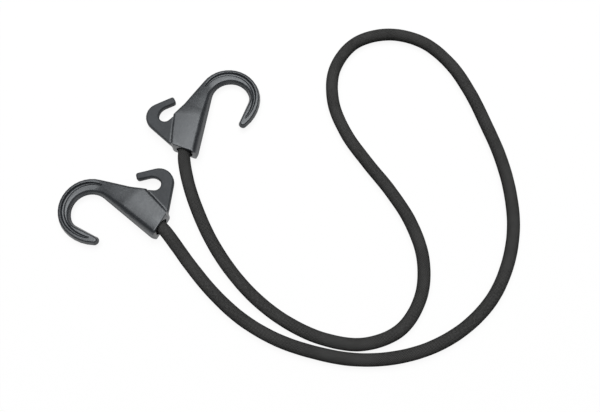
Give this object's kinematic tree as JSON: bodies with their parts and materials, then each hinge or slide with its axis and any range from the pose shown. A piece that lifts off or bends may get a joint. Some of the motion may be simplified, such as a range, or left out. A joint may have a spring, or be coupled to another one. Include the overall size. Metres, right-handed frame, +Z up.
{
  "type": "cargo rack strap",
  "caption": "Fabric-covered elastic cord laid in a loose loop, with a moulded plastic double hook that swivels on each end: a large open hook beside a small return hook on a tapered socket.",
  "frame": {"origin": "on the surface that the strap lies on, under the middle of the bounding box of the hooks, with the free cord left out", "axes": "+Z up from the surface; +X to the right and +Y away from the viewer, as the strap lies in the picture"},
  "size_m": [0.2895, 0.2255, 0.0127],
  "materials": {
    "hook_plastic": "satin moulded plastic, charcoal with a blue-grey sheen",
    "sheath_fabric": "tightly braided polyester, warm black",
    "core_rubber": "natural latex, matt",
    "ferrule_steel": "plain zinc-plated steel"
  },
  "bodies": {
    "cord": {"elastic_cord": "sheath_fabric", "sheath_end_a": "sheath_fabric", "rubber_core_end_a": "core_rubber", "crimp_ferrule_a": "ferrule_steel", "sheath_end_b": "sheath_fabric", "rubber_core_end_b": "core_rubber", "crimp_ferrule_b": "ferrule_steel"},
    "hook_a": {"double_hook_a": "hook_plastic"},
    "hook_b": {"double_hook_b": "hook_plastic"}
  },
  "joints": [
    {"name": "hook_a_swivel", "type": "hinge", "parent": "cord", "child": "hook_a", "pos_m": [0.01526, 0.00127, 0.00639], "axis": [0.0571, 0.9979, -0.029], "range_deg": [-90, 90]},
    {"name": "hook_b_swivel", "type": "hinge", "parent": "cord", "child": "hook_b", "pos_m": [0.00306, -0.04879, 0.00639], "axis": [-0.6903, 0.723, -0.029], "range_deg": [-90, 90]}
  ]
}
